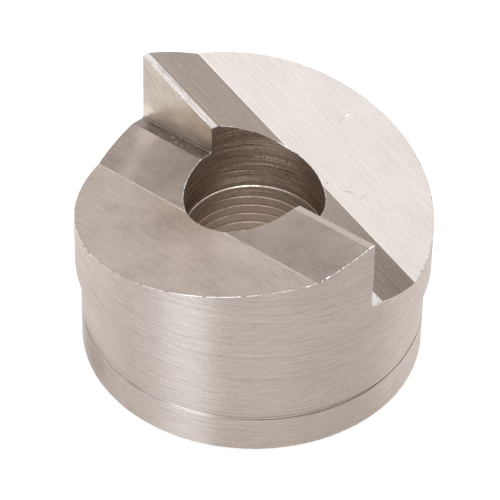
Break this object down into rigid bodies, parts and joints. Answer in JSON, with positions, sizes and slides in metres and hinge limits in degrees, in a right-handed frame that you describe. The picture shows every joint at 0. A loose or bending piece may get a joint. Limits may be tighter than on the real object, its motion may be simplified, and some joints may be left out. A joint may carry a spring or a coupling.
{
  "type": "knockout punch",
  "caption": "Round steel punch head for knocking holes in sheet metal: opposed sloped cutting teeth, a shouldered, grooved body and a counterbored bore threaded for a draw stud.",
  "frame": {"origin": "centre of the flat back face, on the bore's axis", "axes": "+Z along the bore, out of the cutting face; +X along the ramps of the milled face, so the upright tooth faces lie parallel to X"},
  "size_m": [0.0496, 0.0496, 0.0341],
  "materials": {
    "tool_steel": "bright turned and milled tool steel, satin"
  },
  "bodies": {
    "root": {"punch": "tool_steel"}
  },
  "joints": []
}
